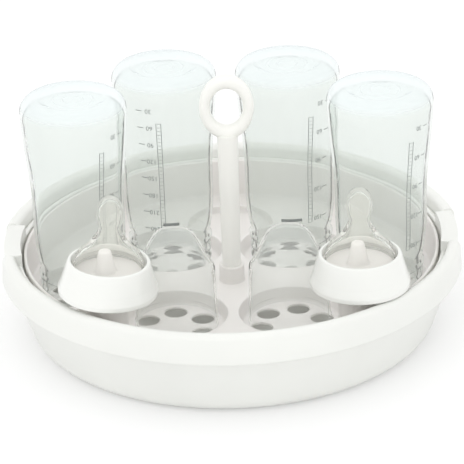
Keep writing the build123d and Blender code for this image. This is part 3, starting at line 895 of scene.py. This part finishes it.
collarSizes = {
    "wall": 2.2, "skirt": 3.0, "topRadius": 24.6, "opening": 22.4, "lip": 4.5,
    "insideRounding": 0.4, "outsideRounding": 0.8,
    "skirtSide": [(0, 0, 1.2), (-1.6, 4.5, 4.0)], "skirtInside": [(-1.0, 4.0, 2.0)],
    "shoulder": [(1.0, 0, 3.0)], "topEdge": [(-0.4, 0, 1.6)],
    "openingTop": [(0, -0.2, 0.5)], "openingUnder": [(0, 0, 0.3), (2.0, 0)], "steps": 128,
}
teatSizes = {
    "wall": 1.9, "flangeThickness": 1.9, "flangeReach": 2.5, "domeFoot": 3.0,
    "neck": 6.6, "neckHeight": 26.0, "bulb": 8.2, "bulbHeight": 37.4,
    "domeSide": [(0, 0), (-2.6, 5.0)], "neckSide": [(5.6, -9.0), (0, 0)], "bulbFoot": [(-0.6, 5.5)],
    "tipSide": [(-2.6, -1.8), (-5.6, -0.15)], "tipRoom": 0.4, "tipInside": [(-3.4, -1.2)],
    "bulbInside": [(-0.7, 3.0), (0, 0)], "neckInside": [(0, 0), (4.2, -9.6)],
    "domeInside": [(-3.2, 3.6), (0, -1.0)], "insideRounding": 0.4, "flangeRounding": 0.6,
    "ribs": 44, "ribWidth": 0.8, "rib": [(-0.4, -0.3), (0.25, -0.3), (0.2, 2.6), (-0.4, 3.4)], "steps": 112,
}
leftLean = 4  # degrees: the left teat and its collar hang askew


def makeCollar(sizes):
    low, high = nodeCorners("collar_right")
    top = high[2] - low[2]
    bottomRadius = nodeRadius("collar_right")
    inside = bottomRadius - sizes["wall"]
    topRadius, opening = sizes["topRadius"], sizes["opening"]
    skirt = sizes["skirt"]
    lipUnder = top - sizes["lip"]
    outline = roundCorners(
        [(inside, 0, sizes["insideRounding"]), (bottomRadius, 0, sizes["outsideRounding"])]
        + around(bottomRadius, skirt, sizes["skirtSide"]) + around(topRadius, lipUnder, sizes["shoulder"])
        + around(topRadius, top, sizes["topEdge"]) + around(opening, top, sizes["openingTop"])
        + around(opening, lipUnder, sizes["openingUnder"])
        + around(inside, skirt, sizes["skirtInside"]), cuts=5)
    return turnOutline("collarBody", outline, steps=sizes["steps"])


def makeTeat(sizes):  # its flange's under side at height 0
    low, high = nodeCorners("teat_right")
    tip = high[2] - low[2]
    flange = nodeRadius("teat_right")
    flangeTop = sizes["flangeThickness"]
    dome = flange - sizes["flangeReach"]
    neck, neckHeight = sizes["neck"], sizes["neckHeight"]
    bulb, bulbHeight = sizes["bulb"], sizes["bulbHeight"]
    wall = sizes["wall"]
    base = flangeTop + sizes["domeFoot"]
    outer = flowLine(
        around(dome, base, sizes["domeSide"]) + around(neck, neckHeight, sizes["neckSide"])
        + around(bulb, neckHeight, sizes["bulbFoot"]) + [(bulb, bulbHeight)]
        + around(bulb, tip, sizes["tipSide"]) + [(0, tip)], cuts=6)
    inner = flowLine(
        [(0, tip - wall - sizes["tipRoom"])] + around(bulb - wall, tip - wall, sizes["tipInside"])
        + around(bulb - wall, bulbHeight, sizes["bulbInside"])
        + around(bulb - wall, neckHeight, sizes["bulbFoot"])
        + around(neck - wall, neckHeight, sizes["neckInside"])
        + around(dome - wall, base, sizes["domeInside"]), cuts=6)
    rounding = sizes["flangeRounding"]
    edge = roundCorners([
        (dome - wall, 0, sizes["insideRounding"]), (flange, 0, rounding), (flange, flangeTop, rounding),
        (dome, flangeTop, rounding), (dome, base)], cuts=3)[:-1]
    teat = turnOutline("teatBody", inner + edge + outer, steps=sizes["steps"])
    rib = flatBlock(around(dome, flangeTop, sizes["rib"]), sizes["ribWidth"])
    ribs = []
    for step in range(sizes["ribs"]):
        copy = copyPiece(rib)
        copy.rotation_euler.z = math.tau * step / sizes["ribs"]
        applyPlace(copy)
        ribs.append(copy)
    bpy.data.objects.remove(rib)
    combine(teat, joinLoose(ribs), "UNION")
    return teat


def hangOn(piece, node, lean):  # leant, and then moved until its box lies where the node's does
    if lean:
        piece.rotation_euler.y = math.radians(lean)
        applyPlace(piece)
    corners = [piece.matrix_world @ Vector(corner) for corner in piece.bound_box]
    target = nodeMiddle(node)
    shift = []
    for axis in range(3):
        values = [corner[axis] for corner in corners]
        shift.append(target[axis] - (min(values) + max(values)) / 2 / mm)
    return movePiece(piece, *shift)


collar = makeCollar(collarSizes)
teat = makeTeat(teatSizes)
for end, lean in (("left", leftLean), ("right", 0)):
    ring = hangOn(copyPiece(collar), "collar_" + end, lean)
    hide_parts("collar_" + end)
    finishPiece(ring, "collar_" + end + "_ring", "teat_set_" + end, collarPlastic)
    soft = hangOn(copyPiece(teat), "teat_" + end, lean)
    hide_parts("teat_" + end)
    finishPiece(soft, "teat_" + end + "_soft", "teat_set_" + end, teatSilicone, angle=50)
bpy.data.objects.remove(collar)
bpy.data.objects.remove(teat)
print("collars and teats ready")


# Floor, light and camera

studio = {
    "floorSize": 6.0, "floorColour": "#E0E0E0", "floorLift": 0.2, "white": "#FFFFFF", "skyLight": 1.16,
    "backdrop": 1.0, "keyPlace": (-0.5, -1.4, 1.3), "keyAim": (0, 0, 0.05), "keySize": 1.4, "keyPower": 3.0,
}
cameraView = {
    "target": (0.0008, 0.0, 0.0593), "distance": 1.8, "elevation": 25.17, "roll": -1.935, "lens": 226.7,
    "farEnd": 20,
}


def seenDirectly(tree):  # 1 for what the camera, a gloss or a clear wall looks at
    rays = addNode(tree, "LightPath")
    either = addNode(tree, "Math", {"operation": "MAXIMUM"})
    tree.links.new(rays.outputs["Is Camera Ray"], either.inputs[0])
    tree.links.new(rays.outputs["Is Glossy Ray"], either.inputs[1])
    anyOf = addNode(tree, "Math", {"operation": "MAXIMUM"})
    tree.links.new(either.outputs["Value"], anyOf.inputs[0])
    tree.links.new(rays.outputs["Is Transmission Ray"], anyOf.inputs[1])
    return anyOf.outputs["Value"]


def makeFloor(sizes):  # white paper that sends back a little light of its own
    bpy.ops.object.select_all(action="DESELECT")
    bpy.ops.mesh.primitive_plane_add(size=sizes["floorSize"])
    floor = bpy.context.object
    floor.name = "studioFloor"
    material, tree = newMaterial("whitePaperFloor")
    paper = addNode(tree, "BsdfDiffuse", {"Color": linear(sizes["floorColour"])})
    lift = addNode(tree, "Emission", {"Strength": sizes["floorLift"]})
    both = addNode(tree, "AddShader")
    tree.links.new(paper.outputs["BSDF"], both.inputs[0])
    tree.links.new(lift.outputs["Emission"], both.inputs[1])
    addNode(tree, "OutputMaterial", {}, {"Surface": both.outputs["Shader"]})
    floor.data.materials.append(material)


def makeLight(sizes):
    world = bpy.data.worlds.new("whiteStudio")
    world.use_nodes = True
    bpy.context.scene.world = world
    tree = world.node_tree
    tree.nodes.clear()
    light = addNode(tree, "Background", {"Color": linear(sizes["white"]), "Strength": sizes["skyLight"]})
    white = addNode(tree, "Background", {"Color": linear(sizes["white"]), "Strength": sizes["backdrop"]})
    mix = addNode(tree, "MixShader", {}, {"Fac": seenDirectly(tree)})
    tree.links.new(light.outputs["Background"], mix.inputs[1])
    tree.links.new(white.outputs["Background"], mix.inputs[2])
    addNode(tree, "OutputWorld", {}, {"Surface": mix.outputs["Shader"]})
    lamp = bpy.data.lights.new("keySoftbox", "AREA")
    lamp.energy = sizes["keyPower"]
    lamp.size = sizes["keySize"]
    box = bpy.data.objects.new("keySoftbox", lamp)
    bpy.context.scene.collection.objects.link(box)
    box.location = sizes["keyPlace"]
    box.rotation_euler = (Vector(sizes["keyAim"]) - box.location).to_track_quat("-Z", "Y").to_euler()


def makeCamera(sizes):
    rise = math.radians(sizes["elevation"])
    target = Vector(sizes["target"])
    camera = bpy.data.objects.new("photoCamera", bpy.data.cameras.new("photoCamera"))
    bpy.context.scene.collection.objects.link(camera)
    camera.location = target + sizes["distance"] * Vector((0, -math.cos(rise), math.sin(rise)))
    look = (target - camera.location).to_track_quat("-Z", "Y")
    camera.rotation_mode = "QUATERNION"
    camera.rotation_quaternion = look @ Quaternion((0, 0, 1), math.radians(sizes["roll"]))
    camera.data.lens = sizes["lens"]
    camera.data.clip_end = sizes["farEnd"]
    bpy.context.scene.camera = camera


makeFloor(studio)
makeLight(studio)
makeCamera(cameraView)
bpy.context.scene.view_settings.view_transform = "Standard"
print("studio ready")
